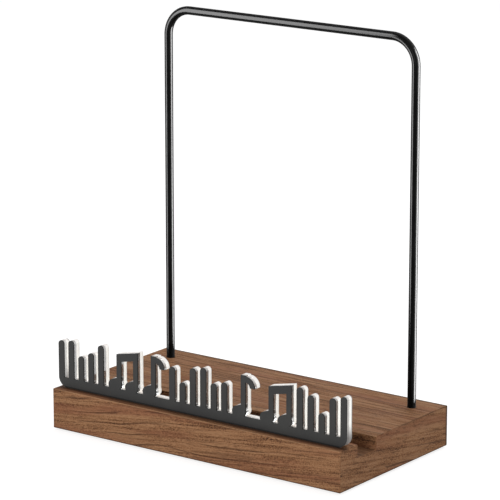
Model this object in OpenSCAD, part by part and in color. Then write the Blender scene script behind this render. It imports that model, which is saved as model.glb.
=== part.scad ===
// Record display stand: a grooved wooden base, a bent rod frame that lifts out of two sockets
// in the base, and a two-layer cut-out sign that stands on the lip in front of the groove.
// Millimetres. X runs along the base, Y to the back, Z up, and the feet stand on Z = 0.

/* [Base] */
// Length of the base along the record
base_l = 260; // [220:1:320]
// Depth of the base from front to back
base_w = 137.5; // [110:0.5:180]
// Height of the wooden block
base_h = 30.5; // [26:0.5:45]
// Chamfer along the edges of the block
edge_c = 0.6; // [0.3:0.1:1.5]

/* [Record groove] */
// Depth of the lip in front of the groove
lip_w = 21.5; // [14:0.5:30]
// Width of the groove from front to back
groove_w = 23; // [8:0.5:26]
// Depth of the groove below the top of the block
groove_d = 10; // [5:0.5:14]

/* [Rod frame] */
// Diameter of the rod
rod_d = 6.35; // [4:0.05:9]
// Height of the frame above the top of the block
frame_h = 275; // [180:1:320]
// Radius of each top corner, to the middle of the rod
bend_r = 20; // [12:0.5:45]
// Distance from an end of the base to the middle of its leg
leg_inset = 19; // [12:0.5:40]
// Distance from the back of the base to the middle of the legs
leg_back = 19; // [12:0.5:36]
// Depth of the sockets for the legs
socket_depth = 22; // [14:0.5:24]
// Running clearance around a leg in its socket
socket_clear = 0.05; // [0.02:0.01:0.1]
// Chamfer on the lower end of each leg
leg_c = 0.5; // [0.2:0.1:1]

/* [Sign] */
// Height of the sign above the lip
sign_h = 38; // [32:0.5:60]
// Height of the bar along the bottom of the sign
sign_bar_h = 7.7; // [7:0.1:14]
// Radius of the two bottom corners of the sign
sign_corner_r = 8; // [3:0.5:12]
// Thickness of the black front layer
face_t = 1; // [0.5:0.1:3]
// Thickness of the clear layer behind it
body_t = 6; // [4:0.5:10]

/* [Sign motif] */
// Width of the upright sound bars
sound_bar_w = 5.2; // [3:0.1:7]
// Gap between neighbouring sound bars
sound_bar_gap = 4.2; // [2.5:0.1:6]
// Height of the lowest sound bar as a share of the room above the bottom bar
lowest_level = 0.45; // [0.2:0.05:0.8]
// Turn of the wave that sets the heights, from one sound bar to the next, in degrees
wave_step = 51; // [20:1:80]
// Turn of the wave at the first sound bar, in degrees
wave_start = 60; // [0:5:175]
// Width of the stem of a note
stem_w = 4.2; // [3:0.1:6]
// Length of the head of a note
head_l = 12.5; // [10.5:0.5:15]
// Height of the head of a note, square to its length
head_d = 9; // [7:0.5:10]
// Tilt of the head of a note, in degrees
head_tilt = 20; // [0:1:30]
// Depth to which a head sinks into the bottom bar
head_sink = 1.5; // [1:0.1:3]
// Distance that a head reaches out past the right side of its stem
head_lap = 0.4; // [0.3:0.1:1.2]
// Distance between the stems of a pair of notes
pair_spacing = 15.5; // [13:0.5:18]
// Thickness of the beam that joins a pair of notes
beam_t = 6; // [4:0.5:8]
// Rise of the beam from the left stem to the right one
beam_rise = 4; // [0:0.5:6]
// Outer radius of the flag of a single note
flag_r = 8; // [6.5:0.5:10]
// Thickness of the flag of a single note
flag_t = 4.2; // [3:0.1:5]
// Distance from the top of the stem down to the top of the flag
flag_drop = 0.6; // [0.3:0.1:3]
// Least gap between neighbouring groups of the motif
group_gap = 4.6; // [3:0.1:8]

/* [Sign pins] */
// Diameter of the pins that hold the sign
pin_d = 2; // [1.5:0.1:3]
// Length of a pin inside the wood
pin_in_wood = 9; // [5:0.5:14]
// Length of a pin inside the sign
pin_in_sign = 5; // [3:0.5:6]
// Clearance around a pin
pin_clear = 0.05; // [0.02:0.01:0.1]
// Clearance above the upper end of a pin
pin_end_clear = 0.3; // [0.1:0.1:0.6]
// Distance from an end of the sign to its pin
pin_inset = 42; // [20:1:80]

/* [Feet] */
// Diameter of a foot
foot_d = 10; // [6:0.5:16]
// Thickness of a foot
foot_h = 1.5; // [1:0.1:4]
// Chamfer around the lower edge of a foot
foot_c = 0.4; // [0.1:0.1:0.8]
// Distance from the sides of the base to the middle of a foot
foot_inset = 18; // [12:0.5:30]

/* [Hidden] */
$fn = 96;

LEFT = -1;
RIGHT = 1;
FRONT = -1;
REAR = 1;

// Levels and faces of the block
block_z = foot_h;
deck_z = block_z + base_h;
groove_floor_z = deck_z - groove_d;
front_y = -base_w / 2;
rear_y = base_w / 2;
lip_rear_y = front_y + lip_w;
groove_rear_y = lip_rear_y + groove_w;

// Frame
rod_r = rod_d / 2;
leg_x = base_l / 2 - leg_inset;
leg_y = rear_y - leg_back;
leg_foot_z = deck_z - socket_depth;
top_bar_z = deck_z + frame_h - rod_r;
bend_start_z = top_bar_z - bend_r;
bend_end_x = leg_x - bend_r;

// Sign, centred on the lip and as long as the base
sign_l = base_l;
sign_t = face_t + body_t;
sign_front_y = front_y + (lip_w - sign_t) / 2;
sign_body_y = sign_front_y + face_t;
pin_x = sign_l / 2 - pin_inset;
pin_y = sign_body_y + body_t / 2;

// Worked-out places on the sign are rounded to 0.01 mm, so that edges meant to meet do meet
function rounded(v) = round(v * 100) / 100;

// Notes, each measured from the left side of its head
head_w = rounded(head_d + (head_l - head_d) * cos(head_tilt));
head_z = sign_bar_h + head_d / 2 - head_sink;
stem_right_x = head_w - head_lap;
stem_left_x = stem_right_x - stem_w;
note_w = stem_right_x + flag_r;
flag_root = stem_w / 4;
pair_w = stem_right_x + pair_spacing;

// The motif is a row of groups: sound bars at both ends and in the middle, with a pair of notes
// and a single note between them. Sound bars fill the length that the notes leave.
notes_w = 2 * (pair_w + note_w);
gap_count = 6;
side_groups = 2;
bar_groups = side_groups + 1;
bar_pitch = sound_bar_w + sound_bar_gap;
bars_room = sign_l - notes_w - gap_count * group_gap + bar_groups * sound_bar_gap;
bar_count = floor(bars_room / bar_pitch);
side_bars = floor(bar_count / bar_groups);
middle_bars = bar_count - side_groups * side_bars;
groups = [
    ["bars", 0, side_bars], ["pair"], ["note"],
    ["bars", side_bars, middle_bars], ["note"], ["pair"],
    ["bars", side_bars + middle_bars, side_bars]
];
function group_w(group) =
    group[0] == "pair" ? pair_w :
    group[0] == "note" ? note_w : group[2] * bar_pitch - sound_bar_gap;
function total_w(i = 0) = i == len(groups) ? 0 : group_w(groups[i]) + total_w(i + 1);
spread_gap = (sign_l - total_w()) / gap_count;
function exact_x(i) = i == 0 ? 0 : exact_x(i - 1) + group_w(groups[i - 1]) + spread_gap;
function group_x(i) = rounded(exact_x(i));

// Height of the sound bar with this number, counted from the left
function level(i) = lowest_level + (1 - lowest_level) * abs(sin(wave_start + i * wave_step));
function sound_bar_h(i) = rounded(sign_bar_h + (sign_h - sign_bar_h) * level(i));

// A rectangle with chamfered corners, centred on the origin
module chamfered_plate(w, h, c) {
    polygon([
        [-w / 2 + c, -h / 2], [w / 2 - c, -h / 2], [w / 2, -h / 2 + c], [w / 2, h / 2 - c],
        [w / 2 - c, h / 2], [-w / 2 + c, h / 2], [-w / 2, h / 2 - c], [-w / 2, -h / 2 + c]
    ]);
}

// The end view of the block: lip, groove and deck, with Y to the right and Z up
module block_profile() {
    c = edge_c;
    polygon([
        [front_y + c, block_z], [rear_y - c, block_z],
        [rear_y, block_z + c], [rear_y, deck_z - c], [rear_y - c, deck_z],
        [groove_rear_y + c, deck_z], [groove_rear_y, deck_z - c],
        [groove_rear_y, groove_floor_z], [lip_rear_y, groove_floor_z],
        [lip_rear_y, deck_z - c], [lip_rear_y - c, deck_z],
        [front_y + c, deck_z], [front_y, deck_z - c], [front_y, block_z + c]
    ]);
}

module block_blank() {
    intersection() {
        rotate([90, 0, 90]) linear_extrude(base_l, center = true) block_profile();
        translate([0, 0, block_z + base_h / 2]) rotate([90, 0, 0])
            linear_extrude(base_w, center = true) chamfered_plate(base_l, base_h, edge_c);
        translate([0, 0, block_z]) linear_extrude(base_h) chamfered_plate(base_l, base_w, edge_c);
    }
}

// A blind hole in the top of the block, open at the deck
module deck_hole(x, y, r, depth) {
    translate([x, y, deck_z - depth]) cylinder(h = depth + 1, r = r);
}

module base_block() {
    color("#82593b") difference() {
        block_blank();
        for (side = [LEFT, RIGHT]) {
            deck_hole(side * leg_x, leg_y, rod_r + socket_clear, socket_depth);
            deck_hole(side * pin_x, pin_y, pin_d / 2 + pin_clear, pin_in_wood);
        }
    }
}

// One leg, standing on the floor of its socket
module frame_leg(side) {
    translate([side * leg_x, leg_y, leg_foot_z]) {
        cylinder(h = leg_c, r1 = rod_r - leg_c, r2 = rod_r);
        translate([0, 0, leg_c]) cylinder(h = bend_start_z - leg_foot_z - leg_c, r = rod_r);
    }
}

// One top corner: a quarter turn from the leg to the top bar
module frame_bend(side) {
    translate([side * bend_end_x, leg_y, bend_start_z]) mirror([side == LEFT ? 1 : 0, 0, 0])
        rotate([90, 0, 0]) rotate_extrude(angle = 90) translate([bend_r, 0]) circle(r = rod_r);
}

module rod_frame() {
    color("#1b1b1d") union() {
        for (side = [LEFT, RIGHT]) {
            frame_leg(side);
            frame_bend(side);
        }
        translate([-bend_end_x, leg_y, top_bar_z]) rotate([0, 90, 0])
            cylinder(h = 2 * bend_end_x, r = rod_r);
    }
}

// One sound bar with a round top
module sound_bar(x, h) {
    r = sound_bar_w / 2;
    translate([x, 0]) square([sound_bar_w, h - r]);
    translate([x + r, h - r]) circle(r = r);
}

// The tilted round-ended head of a note, sunk a little into the bottom bar
module note_head() {
    translate([head_w / 2, head_z]) rotate(head_tilt) {
        square([head_l - head_d, head_d], center = true);
        for (end = [LEFT, RIGHT]) translate([end * (head_l - head_d) / 2, 0]) circle(d = head_d);
    }
}

// A single note, whose flag is a quarter ring that curves down from the top of the stem
module single_note() {
    note_head();
    translate([stem_left_x, head_z]) square([stem_w, sign_h - head_z]);
    translate([stem_right_x, sign_h - flag_drop - flag_r]) intersection() {
        difference() {
            circle(r = flag_r);
            circle(r = flag_r - flag_t);
        }
        translate([-flag_root, 0]) square([flag_root + flag_r + 1, flag_r + 1]);
    }
}

// Two notes whose stems are joined by a beam that rises to the right
module note_pair() {
    low_top = sign_h - beam_rise;
    right_x = stem_right_x + pair_spacing;
    slope = beam_rise / (right_x - stem_left_x);
    inner_rise = rounded(slope * stem_w);
    for (x = [0, pair_spacing]) translate([x, 0]) note_head();
    polygon([
        [stem_left_x, head_z], [stem_right_x, head_z],
        [stem_right_x, low_top - beam_t + inner_rise],
        [right_x - stem_w, sign_h - beam_t - inner_rise],
        [right_x - stem_w, head_z], [right_x, head_z], [right_x, sign_h], [stem_left_x, low_top]
    ]);
}

module motif() {
    for (i = [0:len(groups) - 1]) translate([group_x(i), 0]) {
        if (groups[i][0] == "pair") note_pair();
        if (groups[i][0] == "note") single_note();
        if (groups[i][0] == "bars")
            for (j = [0:groups[i][2] - 1]) sound_bar(j * bar_pitch, sound_bar_h(groups[i][1] + j));
    }
}

// The room that the sign may fill: its full length and height, with two round bottom corners
module sign_blank() {
    r = sign_corner_r;
    translate([0, r]) square([sign_l, sign_h - r]);
    translate([r, 0]) square([sign_l - 2 * r, r]);
    for (x = [r, sign_l - r]) translate([x, r]) circle(r = r);
}

// The outline that both layers of the sign share, seen from the front
module sign_outline() {
    intersection() {
        union() {
            square([sign_l, sign_bar_h]);
            motif();
        }
        sign_blank();
    }
}

// A layer of the sign, whose front is at this Y
module sign_layer(y, t) {
    translate([-sign_l / 2, y + t, deck_z]) rotate([90, 0, 0]) linear_extrude(t) sign_outline();
}

module sign_face() {
    color("#303234") sign_layer(sign_front_y, face_t);
}

module sign_body() {
    color("#dfe6ea") difference() {
        sign_layer(sign_body_y, body_t);
        for (side = [LEFT, RIGHT]) translate([side * pin_x, pin_y, deck_z - 1])
            cylinder(h = pin_in_sign + pin_end_clear + 1, r = pin_d / 2 + pin_clear);
    }
}

module sign_pin(side) {
    color("#b9bcc0") translate([side * pin_x, pin_y, deck_z - pin_in_wood])
        cylinder(h = pin_in_wood + pin_in_sign, d = pin_d);
}

module foot(side, end) {
    x = side * (base_l / 2 - foot_inset);
    y = end * (base_w / 2 - foot_inset);
    color("#26282a") translate([x, y, 0]) {
        cylinder(h = foot_c, r1 = foot_d / 2 - foot_c, r2 = foot_d / 2);
        translate([0, 0, foot_c]) cylinder(h = foot_h - foot_c, d = foot_d);
    }
}

base_block();
rod_frame();
sign_face();
sign_body();
sign_pin(LEFT);  // sign_pin_left
sign_pin(RIGHT);  // sign_pin_right
foot(LEFT, FRONT);  // foot_front_left
foot(RIGHT, FRONT);  // foot_front_right
foot(LEFT, REAR);  // foot_rear_left
foot(RIGHT, REAR);  // foot_rear_right
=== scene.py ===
"""Record display stand: a grooved walnut base, a bent black rod frame and a two-layer sign.

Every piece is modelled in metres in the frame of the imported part, with X along the groove, Y to the
back, Z up and the feet on Z = 0. A piece takes its place from the solid that it stands for.
"""

import logging
import math
from collections.abc import Callable, Iterator
from contextlib import contextmanager
from dataclasses import dataclass, field
from enum import Enum
from typing import Any

import bmesh
import bpy
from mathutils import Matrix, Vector


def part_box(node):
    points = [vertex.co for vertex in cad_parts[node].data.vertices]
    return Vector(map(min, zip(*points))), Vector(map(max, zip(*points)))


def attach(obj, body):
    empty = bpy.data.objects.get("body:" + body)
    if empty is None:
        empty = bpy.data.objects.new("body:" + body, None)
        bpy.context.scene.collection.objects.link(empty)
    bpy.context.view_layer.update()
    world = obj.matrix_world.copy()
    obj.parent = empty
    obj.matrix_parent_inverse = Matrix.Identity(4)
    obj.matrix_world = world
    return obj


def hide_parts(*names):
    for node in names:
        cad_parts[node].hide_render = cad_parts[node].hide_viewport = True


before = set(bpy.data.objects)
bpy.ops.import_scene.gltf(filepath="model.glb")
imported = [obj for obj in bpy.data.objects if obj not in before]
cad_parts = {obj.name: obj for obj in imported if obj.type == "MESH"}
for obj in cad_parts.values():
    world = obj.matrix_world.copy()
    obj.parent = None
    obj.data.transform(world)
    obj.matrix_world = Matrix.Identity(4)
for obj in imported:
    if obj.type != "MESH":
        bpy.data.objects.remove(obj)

log = logging.getLogger("record_stand")

Span = tuple[float, float]
Triple = tuple[float, float, float]
Piece = bpy.types.Object
Finish = bpy.types.Material
Test = Callable[[Vector, Vector], bool]

MM = 0.001
MERGE = 0.004 * MM
ALONG = 0.99
FAR_CORNER: Triple = (-0.31, -0.17, -0.05)
WHITE: Triple = (1.0, 1.0, 1.0)
CUT_TOP = "cut_top"
CUT_SIDE = "cut_side"


class Body(Enum):
    """The two bodies of the stand."""

    BASE = "base"
    FRAME = "frame"


class Slot(Enum):
    """The names of the finishes."""

    WALNUT = "walnut"
    ROD = "black_rod"
    FACE = "black_acrylic"
    CLEAR = "clear_acrylic"
    STEEL = "pin_steel"
    RUBBER = "foot_rubber"


class Side(Enum):
    """The left or the right half of the stand."""

    LEFT = -1
    RIGHT = 1


class Element(Enum):
    """What a selection in edit mode picks."""

    POINT = "VERT"
    EDGE = "EDGE"
    FACE = "FACE"


class Cut(Enum):
    """How one solid changes another."""

    REMOVE = "DIFFERENCE"
    JOIN = "UNION"
    KEEP = "INTERSECT"


class WoodFace(Enum):
    """Attributes that tell the walnut finish what kind of cut each face is, and where it paints shade
    or a highlight.
    """

    END = "end_face"
    FLAT = "flat_cut"
    FLOOR = "groove_floor"
    EDGE = "eased_edge"
    WORN = "worn_edge"
    BORE = "bored_hole"
    UNSEEN = "rear_or_underside"


def srgb(red: int, green: int, blue: int) -> Triple:
    """Turns a colour as seen on a screen into the linear values that a shader takes.

    Args:
        red: Red from 0 to 255.
        green: Green from 0 to 255.
        blue: Blue from 0 to 255.

    Returns:
        The three linear values from 0 to 1.
    """
    def linear(value: int) -> float:
        """Gives one channel as a linear value."""
        share = value / 255
        return share / 12.92 if share <= 0.04045 else ((share + 0.055) / 1.055) ** 2.4

    return linear(red), linear(green), linear(blue)


def outward(azimuth: float, elevation: float) -> Vector:
    """Gives the direction from the object to a place round it.

    Args:
        azimuth: Degrees round from straight in front towards the right.
        elevation: Degrees above the horizon.

    Returns:
        The direction, of length 1.
    """
    turn, rise = math.radians(azimuth), math.radians(elevation)
    level = math.cos(rise)
    return Vector((math.sin(turn) * level, -math.cos(turn) * level, math.sin(rise)))


class Bench:
    """Selecting, shaping and joining meshes with Blender's operators."""

    @staticmethod
    def take(piece: Piece) -> None:
        """Selects one object alone and makes it active."""
        bpy.ops.object.select_all(action="DESELECT")
        piece.select_set(True)
        bpy.context.view_layer.objects.active = piece

    @staticmethod
    def added(name: str) -> Piece:
        """Names the primitive that was just added and moves its place into its mesh.

        Args:
            name: The name of the new object and its mesh.

        Returns:
            The new object, at the origin.
        """
        piece = bpy.context.view_layer.objects.active
        piece.name = name
        piece.data.name = name
        Bench.take(piece)
        bpy.ops.object.transform_apply(location=True, rotation=True, scale=True)
        return piece

    @staticmethod
    def box(name: str, low: Vector, high: Vector) -> Piece:
        """Adds a box between two corners, to be shaped further."""
        bpy.ops.mesh.primitive_cube_add(size=1, location=(low + high) / 2, scale=high - low)
        return Bench.added(name)

    @staticmethod
    def disc(name: str, centre: Vector, radius: float, sides: int) -> Piece:
        """Adds a level disc, to be pulled out into a solid."""
        bpy.ops.mesh.primitive_circle_add(
            vertices=sides, radius=radius, fill_type="NGON", location=centre
        )
        return Bench.added(name)

    @staticmethod
    def cylinder(name: str, low: Vector, high: Vector, sides: int) -> Piece:
        """Adds an upright cylinder that fills a box, to be shaped further."""
        bpy.ops.mesh.primitive_cylinder_add(
            vertices=sides, radius=(high.x - low.x) / 2, depth=high.z - low.z,
            location=(low + high) / 2,
        )
        return Bench.added(name)

    @staticmethod
    def copy(piece: Piece, name: str) -> Piece:
        """Copies an object with a mesh of its own.

        Args:
            piece: The object to copy.
            name: The name of the copy and its mesh.

        Returns:
            The copy, in the same place.
        """
        twin = piece.copy()
        twin.data = piece.data.copy()
        twin.name = name
        twin.data.name = name
        bpy.context.scene.collection.objects.link(twin)
        return twin

    @staticmethod
    @contextmanager
    def editing(piece: Piece) -> Iterator[None]:
        """Opens a piece in edit mode with everything selected, and closes it again."""
        Bench.take(piece)
        bpy.ops.object.mode_set(mode="EDIT")
        bpy.ops.mesh.select_all(action="SELECT")
        yield
        bpy.ops.object.mode_set(mode="OBJECT")

    @staticmethod
    def pick(piece: Piece, element: Element, wanted: Test) -> None:
        """Selects the points, edges or faces that a test wants, in edit mode.

        Args:
            piece: The object that is open in edit mode.
            element: What to select.
            wanted: Told the middle of an element and its direction: a point's or face's normal, or
                the line of an edge.
        """
        bpy.ops.mesh.select_mode(type=element.value)
        bpy.ops.mesh.select_all(action="DESELECT")
        mesh = bmesh.from_edit_mesh(piece.data)
        mesh.normal_update()
        if element is Element.POINT:
            items = [(point, point.co, point.normal) for point in mesh.verts]
        elif element is Element.EDGE:
            ends = [(edge, edge.verts[0].co, edge.verts[1].co) for edge in mesh.edges]
            items = [(edge, (one + two) / 2, (two - one).normalized()) for edge, one, two in ends]
        else:
            items = [(face, face.calc_center_median(), face.normal) for face in mesh.faces]
        for item, middle, direction in items:
            if wanted(middle, direction):
                item.select_set(True)
        mesh.select_flush_mode()
        bmesh.update_edit_mesh(piece.data)

    @staticmethod
    def bevel(piece: Piece, wanted: Test, width: float, steps: int) -> None:
        """Rounds the edges that a test wants, in edit mode, with this number of strips."""
        Bench.pick(piece, Element.EDGE, wanted)
        bpy.ops.mesh.bevel(offset=width, segments=steps, affect="EDGES")

    @staticmethod
    def extrude(step: Triple) -> None:
        """Pulls the selected face along, in edit mode."""
        bpy.ops.mesh.extrude_region_move(TRANSFORM_OT_translate={"value": step})

    @staticmethod
    def shift(piece: Piece, step: Vector) -> None:
        """Moves a whole mesh, and leaves its object at the origin."""
        with Bench.editing(piece):
            bpy.ops.transform.translate(value=step)

    @staticmethod
    def modify(piece: Piece, kind: str, **settings: Any) -> None:
        """Applies one modifier.

        Args:
            piece: The object that changes.
            kind: The modifier's type.
            settings: Its options by name.
        """
        Bench.take(piece)
        modifier = piece.modifiers.new(kind.lower(), kind)
        for name, setting in settings.items():
            setattr(modifier, name, setting)
        bpy.ops.object.modifier_apply(modifier=modifier.name)

    @staticmethod
    def combine(piece: Piece, tool: Piece, cut: Cut) -> None:
        """Cuts, joins or trims a piece with a tool, which is used up.

        Args:
            piece: The object that changes.
            tool: The solid to cut, join or trim with.
            cut: What the tool does.
        """
        Bench.modify(piece, "BOOLEAN", operation=cut.value, solver="EXACT", object=tool)
        bpy.data.objects.remove(tool)

    @staticmethod
    def order(piece: Piece) -> None:
        """Sorts a mesh by the way from a far corner, because a boolean's own order is never sure."""
        bpy.context.scene.cursor.location = FAR_CORNER
        with Bench.editing(piece):
            for element in Element:
                bpy.ops.mesh.select_all(action="SELECT")
                bpy.ops.mesh.sort_elements(type="CURSOR_DISTANCE", elements={element.value})

    @staticmethod
    def tidy(piece: Piece, merge: float = MERGE) -> None:
        """Merges doubled points and turns every face outwards."""
        with Bench.editing(piece):
            bpy.ops.mesh.remove_doubles(threshold=merge)
            bpy.ops.mesh.normals_make_consistent(inside=False)

    @staticmethod
    def smooth(piece: Piece, angle: float) -> None:
        """Shades round stretches smooth and keeps the flats flat.

        Args:
            piece: The object to shade.
            angle: The angle in degrees past which an edge stays sharp.
        """
        Bench.take(piece)
        bpy.ops.object.shade_smooth_by_angle(angle=math.radians(angle))
        Bench.modify(piece, "WEIGHTED_NORMAL", keep_sharp=True)

    @staticmethod
    def report(piece: Piece) -> None:
        """Logs the size of a mesh and how many of its edges are open."""
        mesh = bmesh.new()
        mesh.from_mesh(piece.data)
        loose = sum(not edge.is_manifold for edge in mesh.edges)
        volume = mesh.calc_volume(signed=True)
        faces = len(mesh.faces)
        mesh.free()
        log.info("%s: %d faces, %d open edges, %.3f cm3", piece.name, faces, loose, volume * 1e6)


class Signal:
    """One output of a material's node, on which arithmetic adds Math nodes."""

    def __init__(self, board: "Board", socket: bpy.types.NodeSocket) -> None:
        """Wraps a socket of a board."""
        self.board = board
        self.socket = socket

    def __add__(self, other: "Signal | float") -> "Signal":
        """Adds two signals."""
        return self.board.math("ADD", self, other)

    def __sub__(self, other: "Signal | float") -> "Signal":
        """Takes a signal away from this one."""
        return self.board.math("SUBTRACT", self, other)

    def __rsub__(self, other: float) -> "Signal":
        """Takes this signal away from a number."""
        return self.board.math("SUBTRACT", other, self)

    def __mul__(self, other: "Signal | float") -> "Signal":
        """Multiplies two signals."""
        return self.board.math("MULTIPLY", self, other)

    def __truediv__(self, other: "Signal | float") -> "Signal":
        """Divides this signal."""
        return self.board.math("DIVIDE", self, other)

    def __pow__(self, other: "Signal | float") -> "Signal":
        """Raises this signal to a power."""
        return self.board.math("POWER", self, other)

    __radd__ = __add__
    __rmul__ = __mul__

    def fraction(self) -> "Signal":
        """Gives the part of this signal past its whole number."""
        return self.board.math("FRACT", self)

    def ramp(self, low: float, high: float) -> "Signal":
        """Rises smoothly from 0 to 1 while this signal goes from low to high."""
        values = {"Value": self, "From Min": low, "From Max": high}
        return self.board.add("ShaderNodeMapRange", {"interpolation_type": "SMOOTHSTEP"}, values)[0]


@dataclass(frozen=True)
class Grain:
    """A soft noise, by the number of its cells in a metre along each axis.

    It lies mostly between 0.25 and 0.75. Its values between its limits, if it has any, are spread
    from 0 to 1.
    """

    cells: Triple
    detail: float = 2.0
    rough: float = 0.5
    limits: Span | None = None


class Board:
    """The node tree of one material or world, with methods that add and wire its nodes."""

    def __init__(self, owner: bpy.types.Material | bpy.types.World) -> None:
        """Empties the owner's tree."""
        owner.use_nodes = True
        self.owner = owner
        self.tree = owner.node_tree
        self.tree.nodes.clear()

    @classmethod
    def material(cls, name: str) -> "Board":
        """Starts a new material with this name."""
        return cls(bpy.data.materials.new(name))

    def add(
        self, kind: str, settings: dict[str, Any] | None = None,
        values: dict[str | int, Any] | None = None,
    ) -> list[Signal]:
        """Adds one node.

        Args:
            kind: The node's type.
            settings: The node's own options, set before its sockets. Stops are a ramp's colours.
            values: A number, a colour, a vector or a signal for each socket, by name or number.

        Returns:
            The node's outputs.
        """
        node = self.tree.nodes.new(kind)
        for name, setting in (settings or {}).items():
            if name == "stops":
                self._set_stops(node.color_ramp, setting)
            else:
                setattr(node, name, setting)
        for key, value in (values or {}).items():
            self._plug(node.inputs[key], value)
        return [Signal(self, output) for output in node.outputs]

    @staticmethod
    def _set_stops(ramp: bpy.types.ColorRamp, stops: list[tuple[float, Triple]]) -> None:
        """Sets the colours of a ramp, from left to right."""
        while len(ramp.elements) < len(stops):
            ramp.elements.new(1.0)
        for element, (place, colour) in zip(ramp.elements, stops):
            element.position = place
            element.color = (*colour, 1.0)

    def _plug(self, socket: bpy.types.NodeSocket, value: Any) -> None:
        """Links a signal to a socket, or sets the socket to a value."""
        if isinstance(value, Signal):
            self.tree.links.new(value.socket, socket)
        elif socket.type == "RGBA":
            socket.default_value = (*value, 1.0)
        else:
            socket.default_value = value

    def math(self, operation: str, *values: Signal | float) -> Signal:
        """Adds a Math node, whose inputs are the values in order."""
        return self.add("ShaderNodeMath", {"operation": operation}, dict(enumerate(values)))[0]

    def vector_math(self, operation: str, *values: Any) -> Signal:
        """Adds a Vector Math node, whose inputs are the values in order."""
        settings = {"operation": operation}
        return self.add("ShaderNodeVectorMath", settings, dict(enumerate(values)))[0]

    def blend(self, share: Signal, first: Any, second: Any) -> Signal:
        """Mixes two colours, with this share of the second one."""
        return self.add("ShaderNodeMix", {"data_type": "RGBA"}, {0: share, 6: first, 7: second})[2]

    def mix(self, share: Signal, first: Signal, second: Signal) -> Signal:
        """Mixes two shaders, with this share of the second one."""
        return self.add("ShaderNodeMixShader", None, {0: share, 1: first, 2: second})[0]

    def place(self) -> Signal:
        """Gives the place on the piece, in metres in the part's frame."""
        return self.add("ShaderNodeTexCoord")[3]

    def split(self, vector: Signal) -> list[Signal]:
        """Gives the X, the Y and the Z of a vector."""
        return self.add("ShaderNodeSeparateXYZ", None, {0: vector})

    def noise(self, place: Signal, grain: Grain) -> Signal:
        """Adds soft noise.

        Args:
            place: Where the noise is read.
            grain: Its cells and its limits.

        Returns:
            The noise, spread from 0 to 1 where the grain has limits.
        """
        cells = self.vector_math("MULTIPLY", place, grain.cells)
        values = {"Vector": cells, "Scale": 1.0, "Detail": grain.detail, "Roughness": grain.rough}
        noise = self.add("ShaderNodeTexNoise", {"noise_dimensions": "3D"}, values)[0]
        return noise.ramp(*grain.limits) if grain.limits else noise

    def attribute(self, name: str) -> Signal:
        """Reads a number from an attribute of the mesh."""
        return self.add("ShaderNodeAttribute", {"attribute_name": name})[2]

    def bump(self, height: Signal, depth: float, strength: float) -> Signal:
        """Turns a height from 0 to 1 into the normal of a relief that is so many metres deep."""
        values = {"Height": height, "Distance": depth, "Strength": strength}
        return self.add("ShaderNodeBump", None, values)[0]

    def principled(self, values: dict[str, Any]) -> Signal:
        """Adds a Principled shader, with its sockets by name."""
        return self.add("ShaderNodeBsdfPrincipled", None, values)[0]

    def output(self, shader: Signal) -> Finish | bpy.types.World:
        """Ends the material or the world in a shader.

        Args:
            shader: The finished shader.

        Returns:
            The material or the world.
        """
        world = isinstance(self.owner, bpy.types.World)
        self.add("ShaderNodeOutputWorld" if world else "ShaderNodeOutputMaterial", None, {0: shader})
        return self.owner


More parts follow.
